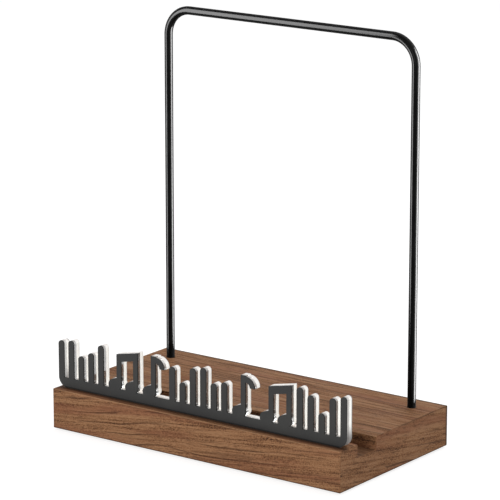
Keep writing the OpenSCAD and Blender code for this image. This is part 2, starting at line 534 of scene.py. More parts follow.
@dataclass(frozen=True)
class WalnutFinish:
    """Satin oiled walnut, whose fibres run along the block and, on its ends, from front to back.

    Its fields are places on the block, the colours, the run of the fibres, the growth rings, the
    noises, the strength of each layer of the figure, and the painted marks: painted shade in dark
    rims along the lower and rear edges, on the eased edges and on the groove's floor, a painted
    contact shadow at the foot of the sign, a painted highlight with wear on the upper front edge,
    and painted light that makes the ends paler. A core is the share of a rim that is fully dark.
    """

    block_low: Vector
    block_high: Vector
    sign_front: float

    pale: Triple = srgb(163, 121, 87)
    middle: Triple = srgb(146, 104, 72)
    deep: Triple = srgb(118, 81, 55)
    # dark grain tone, also used for the painted shade on the edges, rims and groove floor
    line: Triple = srgb(66, 43, 30)
    red: Triple = srgb(138, 88, 64)
    # pale tone of the painted highlight and wear on the upper front edge
    worn: Triple = srgb(178, 138, 104)
    stops: tuple[float, ...] = (0.0, 0.36, 0.72, 1.0)

    slope: float = 0.11
    end_slope: float = 0.16
    end_length: float = 1.2
    end_height: float = 0.8
    flat_calm: float = 0.65
    flat_fineness: float = 1.6
    waver: float = 2.2 * MM
    waver_noise: Grain = Grain((15.0, 15.0, 42.0))

    ring_gap: float = 8.5 * MM
    ring_wander: float = 22 * MM
    ring_ripple: float = 1.6 * MM
    ring_lean: Triple = (0.92, 0.7, 0.22)
    ring_edge: Triple = (0.8, 0.95, 1.0)
    ring_shade: float = 0.25
    wander: Grain = Grain((9.0, 17.0, 21.0), 1.5)
    ripple: Grain = Grain((60.0, 260.0, 260.0))
    presence: Grain = Grain((14.0, 60.0, 60.0), limits=(0.4, 0.6))

    bands: Grain = Grain((9.0, 60.0, 190.0), limits=(0.3, 0.7))
    streaks: Grain = Grain((21.0, 220.0, 840.0), rough=0.6)
    grit: Grain = Grain((900.0, 1500.0, 1500.0), 1.0)
    threads: Grain = Grain((14.0, 170.0, 560.0), rough=0.6, limits=(0.57, 0.7))
    flecks: Grain = Grain((150.0, 420.0, 1500.0), 1.0, limits=(0.54, 0.7))
    clouds: Grain = Grain((11.0, 30.0, 46.0), 2.5, limits=(0.3, 0.7))
    pores: Grain = Grain((260.0, 2100.0, 3300.0), 1.0, limits=(0.6, 0.7))
    blush: Grain = Grain((9.0, 60.0, 110.0), limits=(0.46, 0.68))
    broken: Grain = Grain((26.0, 26.0, 26.0), limits=(0.4, 0.6))

    streak_tone: Span = (0.36, 0.64)
    streak_sheen: Span = (0.3, 0.7)
    ring_tone: Span = (0.3, 0.9)
    streak_weight: float = 0.58
    flat_calming: float = 0.06
    grit_weight: float = 2.1
    end_grit_gain: float = 0.3
    band_weight: float = 0.34
    cloud_weight: float = 0.2
    ring_weight: float = 0.3
    # painted light: the end faces are made paler
    end_painted_light: float = 0.05
    darkness: float = 0.3

    blush_share: float = 0.5
    thread_share: float = 0.34
    fleck_share: float = 0.4
    ring_share: float = 0.55
    pore_share: float = 0.3
    wear_and_highlight_share: float = 0.4
    mineral_share: float = 0.6
    edge_shade_share: float = 0.88
    bore_share: float = 0.6
    # painted shade on the groove's floor
    floor_shade_share: float = 0.6

    # painted shade: dark rims along the lower and rear edges, and a painted contact shadow at the
    # sign's foot
    foot_shade_rim: float = 1.4 * MM
    foot_shade_share: float = 0.8
    rear_shade_rim: float = 2.9 * MM
    rear_core: float = 0.5
    rear_shade_rim_on_top: float = 3.2 * MM
    rim_core: float = 0.3
    contact_shadow: float = 5.5 * MM
    contact_shadow_core: float = 0.2
    mineral_z: float = 13.2 * MM
    mineral_y: float = 16 * MM
    mineral_fade: float = 12 * MM
    mineral_width: Span = (0.15 * MM, 0.6 * MM)
    # painted shade on the eased edges, weaker towards the front and broken in places
    edge_shade_fade: Span = (-4 * MM, 16 * MM)
    front_edge_shade_share: float = 0.25
    least_edge_shade: float = 0.4

    rough_low: float = 0.58
    rough_high: float = 0.76
    bore_rough: float = 0.2
    gloss: float = 0.1
    relief: Span = (0.06 * MM, 0.8)
    pore_depth: float = 0.7
    fleck_depth: float = 0.4
    line_depth: float = 0.3

    def _fibres(self, board: Board) -> Signal:
        """Gives the place with X along the fibres, whichever face it is on.

        Args:
            board: The material's nodes.

        Returns:
            A vector of the distances along the fibres, across them and up.
        """
        place = board.place()
        x, y, z = board.split(place)
        end = board.attribute(WoodFace.END.value)
        flat = board.attribute(WoodFace.FLAT.value)
        run = x + (y - x) * end
        across = (y + (x - y) * end) * (flat * (self.flat_fineness - 1) + 1)
        calm = 1 - flat * self.flat_calm
        waver = (board.noise(place, self.waver_noise) - 0.5) * self.waver * calm
        lean = (1 - flat) * (self.slope - end * (self.slope + self.end_slope))
        up = (z + waver - run * lean) * (1 - end * (1 - self.end_height))
        along = run * (1 - end * (1 - self.end_length))
        return board.add("ShaderNodeCombineXYZ", None, {0: along, 1: across + waver, 2: up})[0]

    def _rings(self, board: Board, fibres: Signal) -> Signal:
        """Gives the growth rings, which wander into long flames and fade in and out.

        Args:
            board: The material's nodes.
            fibres: The place along the fibres.

        Returns:
            Darkness from 0 between the rings to 1 at a ring's edge.
        """
        _, across, up = board.split(fibres)
        flat = board.attribute(WoodFace.FLAT.value)
        wander = board.noise(fibres, self.wander) - 0.5
        ripple = board.noise(fibres, self.ripple) - 0.5
        drift = (wander * self.ring_wander + ripple * self.ring_ripple) * (1 - flat * self.flat_calm)
        by_height, by_depth, flat_loss = self.ring_lean
        depth = up * by_height + across * (by_depth - flat * flat_loss) + drift
        turn = (depth / self.ring_gap).fraction()
        start, peak, end = self.ring_edge
        line = turn.ramp(start, peak) - turn.ramp(peak, end)
        return line * board.noise(fibres, self.presence) + turn ** 2.0 * self.ring_shade

    def _painted_rim_shade(self, board: Board) -> Signal:
        """Gives the painted shade: dark rims along the lower and rear edges, and a painted contact
        shadow along the foot of the sign.

        Args:
            board: The material's nodes.

        Returns:
            Darkness from 0 to 1.
        """
        _, y, z = board.split(board.place())
        # painted shade: a dark band along the lower edges and dark rims along the rear edges
        foot = 1 - (z - self.block_low.z).ramp(self.rim_core * self.foot_shade_rim, self.foot_shade_rim)
        on_top = (z - self.block_high.z).ramp(-MM, 0.0)
        inset = self.block_high.y - y
        side_rim = 1 - inset.ramp(self.rear_core * self.rear_shade_rim, self.rear_shade_rim)
        top_rim = 1 - inset.ramp(self.rim_core * self.rear_shade_rim_on_top, self.rear_shade_rim_on_top)
        back = board.math("MAXIMUM", side_rim, top_rim * on_top)
        seen = 1 - board.attribute(WoodFace.UNSEEN.value)
        # painted contact shadow on the top, close in front of and behind the sign's foot
        ahead = self.sign_front - y
        beyond = ahead.ramp(self.contact_shadow_core * self.contact_shadow, self.contact_shadow)
        under = ahead.ramp(-self.contact_shadow, 0.0) - beyond
        edges = board.math("MAXIMUM", foot * self.foot_shade_share, back) * seen
        return board.math("MAXIMUM", edges, under * on_top)

    def _painted_edge_shade(self, board: Board) -> Signal:
        """Gives the painted shade on the eased edges, which breaks off in places and is weaker
        towards the front, and the painted rim shade.

        Args:
            board: The material's nodes.

        Returns:
            Darkness from 0 to 1.
        """
        broken = board.noise(board.place(), self.broken) * (1 - self.least_edge_shade) + self.least_edge_shade
        _, y, _ = board.split(board.place())
        to_rear = y.ramp(*self.edge_shade_fade) * (1 - self.front_edge_shade_share) + self.front_edge_shade_share
        eased = board.attribute(WoodFace.EDGE.value) * broken * to_rear
        return board.math("MAXIMUM", eased, self._painted_rim_shade(board))

    def _mineral_line(self, board: Board, fibres: Signal) -> Signal:
        """Gives one thin dark line that runs into the rear edge of each end.

        Args:
            board: The material's nodes.
            fibres: The place along the fibres.

        Returns:
            Darkness from 0 to 1.
        """
        _, y, _ = board.split(board.place())
        _, _, up = board.split(fibres)
        away = board.math("ABSOLUTE", up - self.mineral_z)
        start = y.ramp(self.mineral_y, self.mineral_y + self.mineral_fade)
        return (1 - away.ramp(*self.mineral_width)) * start * board.attribute(WoodFace.END.value)

    def material(self) -> Finish:
        """Builds the walnut.

        Returns:
            The material of the block.
        """
        board = Board.material("satin_walnut")
        fibres = self._fibres(board)
        rings = self._rings(board, fibres)
        bands, streaks, grit, threads, flecks, clouds, pores, blush = (
            board.noise(fibres, grain) for grain in (
                self.bands, self.streaks, self.grit, self.threads,
                self.flecks, self.clouds, self.pores, self.blush,
            )
        )
        end, flat, bore, worn, floor = (
            board.attribute(kind.value)
            for kind in (WoodFace.END, WoodFace.FLAT, WoodFace.BORE, WoodFace.WORN, WoodFace.FLOOR)
        )
        dark = (
            (streaks.ramp(*self.streak_tone) - 0.5) * (self.streak_weight - flat * self.flat_calming)
            + (grit - 0.5) * (end * self.end_grit_gain + self.grit_weight)
            + (bands - 0.5) * self.band_weight
            + (clouds - 0.5) * self.cloud_weight
            # painted light: the end faces are made paler
            + rings * self.ring_weight - end * self.end_painted_light + self.darkness
        )
        stops = list(zip(self.stops, (self.pale, self.middle, self.deep, self.line)))
        colour = board.add("ShaderNodeValToRGB", {"stops": stops}, {0: dark})[0]
        for mark, share, tint in (
            (blush, self.blush_share, self.red),
            (threads, self.thread_share, self.line),
            (flecks, self.fleck_share, self.line),
            (rings.ramp(*self.ring_tone), self.ring_share, self.line),
            (pores, self.pore_share, self.line),
            # painted highlight and wear on the upper front edge
            (worn, self.wear_and_highlight_share, self.worn),
            (self._mineral_line(board, fibres), self.mineral_share, self.line),
            # painted shade on the eased edges and rims, and a painted contact shadow at the sign's
            # foot
            (self._painted_edge_shade(board), self.edge_shade_share, self.line),
            (bore, self.bore_share, self.deep),
            # painted shade on the groove's floor
            (floor, self.floor_shade_share, self.line),
        ):
            colour = board.blend(mark * share, colour, tint)
        rough = streaks.ramp(*self.streak_sheen) * (self.rough_high - self.rough_low) + self.rough_low
        hollows = pores * self.pore_depth + flecks * self.fleck_depth
        hollows = hollows + rings * self.line_depth + threads * self.line_depth
        return board.output(board.principled({
            "Base Color": colour,
            "Roughness": rough + bore * self.bore_rough,
            "Specular IOR Level": self.gloss,
            "Normal": board.bump(1 - hollows, *self.relief),
        }))


@dataclass(frozen=True)
class RodFinish:
    """Glossy black coating on a steel rod, with the faint pebble of sprayed powder."""

    black: Triple = srgb(1, 1, 1)
    worn: Triple = srgb(3, 3, 3)
    pebble: Grain = Grain((700.0, 700.0, 700.0))
    drift: Grain = Grain((60.0, 60.0, 60.0), 3.0)
    roughness: float = 0.16
    drift_roughness: float = 0.08
    rim_roughness: float = 0.7
    rim: Span = (0.5, 0.72)
    mottle: Span = (0.35, 0.7)
    relief: Span = (0.004 * MM, 0.2)
    gloss: float = 0.05

    def material(self) -> Finish:
        """Builds the coating, whose sheen is duller where it is seen at a glancing angle.

        Returns:
            The material of the rod.
        """
        board = Board.material("glossy_black_coating")
        place = board.place()
        drift = board.noise(place, self.drift)
        facing = board.add("ShaderNodeLayerWeight", None, {"Blend": 0.5})[1]
        glancing = facing.ramp(*self.rim) * self.rim_roughness
        return board.output(board.principled({
            "Base Color": board.blend(drift.ramp(*self.mottle), self.black, self.worn),
            "Roughness": drift * self.drift_roughness + glancing + self.roughness,
            "Specular IOR Level": self.gloss,
            "Normal": board.bump(board.noise(place, self.pebble), *self.relief),
        }))


@dataclass(frozen=True)
class FaceFinish:
    """Satin charcoal acrylic sheet, with polished black cut edges and a painted shadow line at its
    foot.
    """

    foot: float
    charcoal: Triple = srgb(54, 54, 54)
    handled: Triple = srgb(59, 59, 58)
    cut: Triple = srgb(14, 14, 15)
    haze: Grain = Grain((45.0, 45.0, 60.0), 3.0)
    scuffs: Grain = Grain((900.0, 900.0, 120.0), limits=(0.6, 0.75))
    # painted shadow line along the foot of the sheet
    foot_shadow_line: float = 1.5 * MM
    foot_core: float = 0.4
    foot_shade_share: float = 0.8
    mottle: Span = (0.35, 0.7)
    haze_roughness: float = 0.1
    scuff_roughness: float = 0.08
    roughness: float = 0.43
    relief: Span = (0.004 * MM, 0.4)
    gloss: float = 0.2

    def material(self) -> Finish:
        """Builds the charcoal sheet, with a breath of handling marks in its sheen.

        Returns:
            The material of the sign's front layer.
        """
        board = Board.material("charcoal_sheet")
        place = board.place()
        haze = board.noise(place, self.haze)
        scuffs = board.noise(place, self.scuffs)
        _, _, z = board.split(place)
        # painted shadow along the foot of the sheet, where it meets the wood
        core = self.foot + self.foot_core * self.foot_shadow_line
        line = 1 - z.ramp(core, self.foot + self.foot_shadow_line)
        cut = board.attribute(CUT_TOP) + board.attribute(CUT_SIDE)
        dark = board.math("MAXIMUM", cut, line * self.foot_shade_share)
        colour = board.blend(haze.ramp(*self.mottle), self.charcoal, self.handled)
        marks = haze * self.haze_roughness + scuffs * self.scuff_roughness
        return board.output(board.principled({
            "Base Color": board.blend(dark, colour, self.cut),
            "Roughness": marks + self.roughness,
            "Specular IOR Level": self.gloss,
            "Normal": board.bump(scuffs, *self.relief),
        }))


@dataclass(frozen=True)
class ClearFinish:
    """Clear acrylic whose cut edges are frosted white and glow with painted light, with painted shade
    and a painted reflection of the black layer: grey and half clear next to the face, a dark line at
    the rear and grey low on the ends.

    The depths are shares of the way from the front of the layer to its rear.
    """

    front: float
    rear: float
    foot: float
    end: float
    tint: Triple = (0.97, 0.985, 0.99)
    # painted light: the cut edges that face sideways are whiter and glow more than those that face up
    side_frost: Triple = srgb(255, 254, 249)
    top_frost: Triple = srgb(244, 238, 234)
    side_glow: Triple = (1.0, 0.985, 0.94)
    top_glow: Triple = (0.35, 0.34, 0.33)
    shade: Triple = srgb(118, 114, 111)
    shadow: Triple = srgb(80, 75, 71)
    lines: Grain = Grain((1100.0, 60.0, 1100.0))
    patches: Grain = Grain((260.0, 260.0, 260.0))
    waver: Grain = Grain((60.0, 1.0, 110.0), 1.0)
    # painted shade: a grey band next to the face, a dark line at the rear of the cut edges, and grey
    # shade low on the ends
    band_waver: float = 0.2
    side_band: Span = (0.3, 0.44)
    top_band: Span = (0.05, 0.55)
    top_band_share: float = 0.5
    end_band_loss: float = 0.5
    band_clearness: float = 0.35
    rear_line: Span = (0.8, 0.9)
    rear_line_share: float = 0.25
    shade_rise: Span = (6 * MM, 19 * MM)
    shade_share: float = 0.95
    end_reach: float = 8.5 * MM
    least_frost: float = 0.9
    patch_gain: float = 0.2
    edge_glow: float = 0.3
    roughness: float = 0.02
    line_roughness: float = 0.06
    frost_roughness: float = 0.3
    frost_line_roughness: float = 0.1
    low_end_roughness: float = 0.5
    relief: Span = (0.012 * MM, 0.5)
    refraction: float = 1.49

    def material(self) -> Finish:
        """Builds the clear sheet.

        Returns:
            The material of the sign's rear layer.
        """
        board = Board.material("clear_sheet")
        place = board.place()
        lines = board.noise(place, self.lines)
        patches = board.noise(place, self.patches)
        from_outside = 1 - board.add("ShaderNodeNewGeometry")[6]
        normal = board.bump(lines, *self.relief)
        clear = board.principled({
            "Base Color": self.tint,
            "Roughness": lines * self.line_roughness + self.roughness,
            "IOR": self.refraction,
            "Transmission Weight": 1.0,
            "Normal": normal,
        })
        x, y, z = board.split(place)
        end_start = self.end - self.end_reach
        at_end = board.math("ABSOLUTE", x).ramp(end_start, end_start + 0.5 * self.end_reach)
        depth = (y - self.front) / (self.rear - self.front)
        top = board.attribute(CUT_TOP)
        side = board.attribute(CUT_SIDE)
        # painted shade and a painted reflection of the black layer: a grey band next to the face, a
        # dark line at the rear, and grey shade low on the ends
        waver = (board.noise(place, self.waver) - 0.5) * self.band_waver
        side_band = side * (1 - (depth + waver).ramp(*self.side_band))
        top_band = top * (1 - depth.ramp(*self.top_band)) * self.top_band_share
        shade_band = side_band * (1 - at_end * self.end_band_loss) + top_band
        rear_share = at_end * (1 - self.rear_line_share) + self.rear_line_share
        low_end_shade = (1 - (z - self.foot).ramp(*self.shade_rise)) * at_end * self.shade_share
        dim_shade = board.math("MAXIMUM", depth.ramp(*self.rear_line) * rear_share, low_end_shade)
        white = board.blend(top, self.side_frost, self.top_frost)
        glow = board.blend(top, self.side_glow, self.top_glow)
        rough = lines * self.frost_line_roughness + low_end_shade * self.low_end_roughness
        frost = board.principled({
            "Base Color": board.blend(shade_band, board.blend(dim_shade, white, self.shade), self.shadow),
            "Roughness": rough + self.frost_roughness,
            "Specular IOR Level": 1.0,
            # painted light: the cut edges glow, though no lamp is in them
            "Emission Color": board.blend(shade_band, board.blend(dim_shade, glow, self.shade), self.shadow),
            "Emission Strength": self.edge_glow,
            "Normal": normal,
        })
        frosted = top + side - shade_band * self.band_clearness
        share = frosted * (patches * self.patch_gain + self.least_frost) * from_outside
        return board.output(board.mix(share, clear, frost))


@dataclass(frozen=True)
class SteelFinish:
    """Ground steel of a dowel pin, with lines round it."""

    steel: Triple = (0.6, 0.6, 0.61)
    dull: Triple = (0.5, 0.5, 0.51)
    lines: Grain = Grain((120.0, 120.0, 5200.0))
    line_roughness: float = 0.16
    roughness: float = 0.2
    relief: Span = (0.008 * MM, 0.5)

    def material(self) -> Finish:
        """Builds the steel.

        Returns:
            The material of the pins.
        """
        board = Board.material("ground_steel")
        lines = board.noise(board.place(), self.lines)
        return board.output(board.principled({
            "Base Color": board.blend(lines, self.steel, self.dull),
            "Metallic": 1.0,
            "Roughness": lines * self.line_roughness + self.roughness,
            "Normal": board.bump(lines, *self.relief),
        }))


@dataclass(frozen=True)
class RubberFinish:
    """Matt black rubber, with a moulded grain and a little dust."""

    black: Triple = srgb(34, 34, 36)
    dusty: Triple = srgb(62, 61, 59)
    grain: Grain = Grain((2600.0, 2600.0, 2600.0))
    dust: Grain = Grain((240.0, 240.0, 240.0), 3.0, limits=(0.45, 0.75))
    dust_share: float = 0.35
    grain_roughness: float = 0.1
    roughness: float = 0.77
    relief: Span = (0.03 * MM, 0.6)
    gloss: float = 0.3

    def material(self) -> Finish:
        """Builds the rubber.

        Returns:
            The material of the feet.
        """
        board = Board.material("matt_rubber")
        place = board.place()
        grain = board.noise(place, self.grain)
        dust = board.noise(place, self.dust)
        return board.output(board.principled({
            "Base Color": board.blend(dust * self.dust_share, self.black, self.dusty),
            "Roughness": grain * self.grain_roughness + self.roughness,
            "Specular IOR Level": self.gloss,
            "Normal": board.bump(grain, *self.relief),
        }))


def hand_over(piece: Piece, finish: Finish, body: Body, node: str) -> None:
    """Finishes a piece, lets it ride on its body and lets it stand for its solid.

    Args:
        piece: The shaped object.
        finish: Its material.
        body: The body that it moves with.
        node: The solid that it replaces.
    """
    piece.data.materials.append(finish)
    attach(piece, body.value)
    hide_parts(node)
    Bench.report(piece)


@dataclass
class BaseBlock:
    """The walnut block with its record groove, two leg sockets and two pin holes.

    The fields from square to upright tell its faces apart by the parts of their normals.
    """

    lip: float = 21.5 * MM
    groove: float = 23 * MM
    groove_depth: float = 10 * MM
    edge: float = 0.6 * MM
    edge_strips: int = 3
    socket_depth: float = 22 * MM
    socket_gap: float = 0.05 * MM
    pin_depth: float = 9 * MM
    mouth: float = 0.25 * MM
    hole_sides: int = 64
    flat_angle: float = 1.0
    sharp_angle: float = 35.0
    side_edge_shade: float = 0.6
    square: float = 0.999
    grain: float = 0.75
    tilted: float = 0.1
    upright: float = 0.5
    low: Vector = field(init=False)
    high: Vector = field(init=False)

    def __post_init__(self) -> None:
        """Takes the block's corners from the frame, and places the groove."""
        self.low, self.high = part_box("base_block")
        self.groove_front = self.low.y + self.lip
        self.groove_rear = self.groove_front + self.groove
        self.groove_floor = self.high.z - self.groove_depth

    def _cut_groove(self, block: Piece) -> None:
        """Opens the groove through both ends of the block and walls it in.

        Args:
            block: The plain block.
        """
        planes = [
            ((0, self.groove_front, 0), (0, 1, 0)),
            ((0, self.groove_rear, 0), (0, 1, 0)),
            ((0, 0, self.groove_floor), (0, 0, 1)),
        ]
        middle = (self.groove_front + self.groove_rear) / 2
        half = self.groove / 2

        def in_groove(place: Vector, normal: Vector) -> bool:
            """Tells the faces that the groove takes away."""
            inside = abs(place.y - middle) < half and place.z > self.groove_floor
            return inside and (normal.z > ALONG or abs(normal.x) > ALONG)

        def on_floor(place: Vector, _: Vector) -> bool:
            """Tells the corners of the groove's floor."""
            at_wall = abs(abs(place.y - middle) - half) < MERGE
            return at_wall and abs(place.z - self.groove_floor) < MERGE

        def on_wall(wall: float) -> Test:
            """Gives the test for the corners of one wall of the groove."""
            floor = self.groove_floor - MERGE
            return lambda place, _: abs(place.y - wall) < MERGE and place.z > floor

        with Bench.editing(block):
            for place, normal in planes:
                bpy.ops.mesh.select_all(action="SELECT")
                bpy.ops.mesh.bisect(plane_co=place, plane_no=normal)
            Bench.pick(block, Element.FACE, in_groove)
            bpy.ops.mesh.delete(type="FACE")
            for corners in (on_floor, on_wall(self.groove_front), on_wall(self.groove_rear)):
                Bench.pick(block, Element.POINT, corners)
                bpy.ops.mesh.edge_face_add()
            bpy.ops.mesh.select_all(action="SELECT")
            bpy.ops.mesh.normals_make_consistent(inside=False)
            bpy.ops.mesh.dissolve_limited(angle_limit=math.radians(self.flat_angle))

    def _ease_edges(self, block: Piece) -> None:
        """Rounds every edge but the two at the bottom of the groove.

        Args:
            block: The grooved block.
        """
        def outer(place: Vector, line: Vector) -> bool:
            """Tells every edge apart from the inner corners of the groove."""
            low = abs(line.x) > ALONG and abs(place.z - self.groove_floor) < MERGE
            walls = (self.groove_front, self.groove_rear)
            return not (low and min(abs(place.y - wall) for wall in walls) < MERGE)

        with Bench.editing(block):
            Bench.bevel(block, outer, self.edge, self.edge_strips)

    def _drill(self, block: Piece, centre: Vector, radius: float, depth: float) -> None:
        """Bores one blind hole into the top of the block, with an eased mouth.

        Args:
            block: The block.
            centre: The middle of the hole.
            radius: The radius of the hole.
            depth: Its depth below the top.
        """
        top = self.high.z
        foot = Vector((centre.x, centre.y, top - depth))
        drill = Bench.disc("drill", foot, radius, self.hole_sides)
        flare = (radius + 2 * self.mouth) / radius
        with Bench.editing(drill):
            Bench.extrude((0, 0, depth - self.mouth))
            Bench.extrude((0, 0, 2 * self.mouth))
            bpy.ops.transform.resize(
                value=(flare, flare, 1), center_override=(centre.x, centre.y, top + self.mouth)
            )
        Bench.tidy(drill)
        Bench.combine(block, drill, Cut.REMOVE)

    def _edge_shade(self, normal: Vector) -> float:
        """Gives the painted shade on an eased edge from its direction: full on the lower and rear
        edges, none on the front edges that also face up or to the right, and part on the rest.
        """
        if normal.z < -self.tilted or normal.y > self.tilted:
            return 1.0
        front = normal.y < -self.tilted and max(normal.x, normal.z) > self.tilted
        return 0.0 if front else self.side_edge_shade

    def _marks(self, place: Vector, normal: Vector) -> dict[WoodFace, float]:
        """Tells what kind of cut a face is, and how much painted shade or highlight it takes.

        Args:
            place: The middle of the face.
            normal: Its normal.

        Returns:
            The value of each attribute.
        """
        aslant = max(abs(part) for part in normal) < self.square
        at_rim = any(
            min(place[axis] - self.low[axis], self.high[axis] - place[axis]) < self.edge
            for axis in range(3)
        )
        upright = abs(normal.x) + abs(normal.y) > self.upright
        in_hole = upright and place.z < self.high.z - self.edge and not at_rim and aslant
        eased = aslant and at_rim
        return {
            WoodFace.END: float(abs(normal.x) > self.grain and not in_hole),
            WoodFace.FLAT: float(abs(normal.z) > self.grain),
            # painted shade on the groove's floor
            WoodFace.FLOOR: float(abs(place.z - self.groove_floor) < MERGE),
            # painted shade on the eased edges, by the way they face
            WoodFace.EDGE: self._edge_shade(normal) if eased else 0.0,
            # painted highlight and wear on the eased edges that face the front and up
            WoodFace.WORN: float(eased and normal.y < -self.tilted and normal.z > self.tilted),
            WoodFace.BORE: float(in_hole),
            WoodFace.UNSEEN: float(normal.y > ALONG or normal.z < -ALONG),
        }

    def build(self, finish: Finish, frame_rod: "RodFrame", sign: "Sign") -> None:
        """Makes the block.

        Args:
            finish: The walnut.
            frame_rod: The frame whose legs need sockets.
            sign: The sign whose pins need holes.
        """
        block = Bench.box("walnut_base", self.low, self.high)
        self._cut_groove(block)
        self._ease_edges(block)
        for side in Side:
            leg = frame_rod.leg_centre(side)
            self._drill(block, leg, frame_rod.radius + self.socket_gap, self.socket_depth)
            low, high = sign.pin_box(side)
            pin_radius = (high.x - low.x) / 2
            self._drill(block, (low + high) / 2, pin_radius + self.socket_gap, self.pin_depth)
        Bench.smooth(block, self.sharp_angle)
        marks = [self._marks(face.center, face.normal) for face in block.data.polygons]
        for kind in WoodFace:
            values = block.data.attributes.new(kind.value, "FLOAT", "FACE").data
            values.foreach_set("value", [mark[kind] for mark in marks])
        hand_over(block, finish, Body.BASE, "base_block")


@dataclass
class RodFrame:
    """The steel rod, bent into an upside-down U, whose legs stand in the base."""

    bend: float = 20 * MM
    foot_chamfer: float = 0.5 * MM
    sides: int = 48
    bend_steps: int = 28
    sharp_angle: float = 30.0
    low: Vector = field(init=False)
    high: Vector = field(init=False)
    radius: float = field(init=False)

    def __post_init__(self) -> None:
        """Takes the frame's corners and the rod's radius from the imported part."""
        self.low, self.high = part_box("rod_frame")
        self.radius = (self.high.y - self.low.y) / 2

    def leg_centre(self, side: Side) -> Vector:
        """Gives the lower end of a leg's centre line."""
        x = side.value * (self.high.x - self.radius)
        return Vector((x, (self.low.y + self.high.y) / 2, self.low.z))

    def build(self, finish: Finish) -> Piece:
        """Bends the rod: up the left leg, over both corners and down the right leg.

        Args:
            finish: The coating.

        Returns:
            The finished frame.
        """
        start, end = self.leg_centre(Side.LEFT), self.leg_centre(Side.RIGHT)
        bend_z = self.high.z - self.radius - self.bend
        corner_x = end.x - self.bend
        shaft = bend_z - start.z - self.foot_chamfer
        tip_radius = self.radius - self.foot_chamfer
        rod = Bench.disc("bent_rod_frame", start, tip_radius, self.sides)

        def taper(rise: float, scale: float, centre: Vector) -> None:
            """Pulls the open end of the rod up or down over a chamfer."""
            Bench.extrude((0, 0, rise))
            bpy.ops.transform.resize(value=(scale, scale, 1), center_override=centre)

        def turn(centre_x: float) -> None:
            """Bends the rod a quarter turn to the right round one corner."""
            bpy.ops.mesh.spin(
                steps=self.bend_steps, angle=math.pi / 2,
                center=(centre_x, start.y, bend_z), axis=(0, -1, 0),
            )

        narrow = tip_radius / self.radius
        with Bench.editing(rod):
            taper(self.foot_chamfer, 1 / narrow, start)
            Bench.extrude((0, 0, shaft))
            turn(-corner_x)
            Bench.extrude((2 * corner_x, 0, 0))
            turn(corner_x)
            Bench.extrude((0, 0, -shaft))
            taper(-self.foot_chamfer, narrow, end)
        Bench.tidy(rod)
        Bench.smooth(rod, self.sharp_angle)
        hand_over(rod, finish, Body.FRAME, "rod_frame")
        return rod


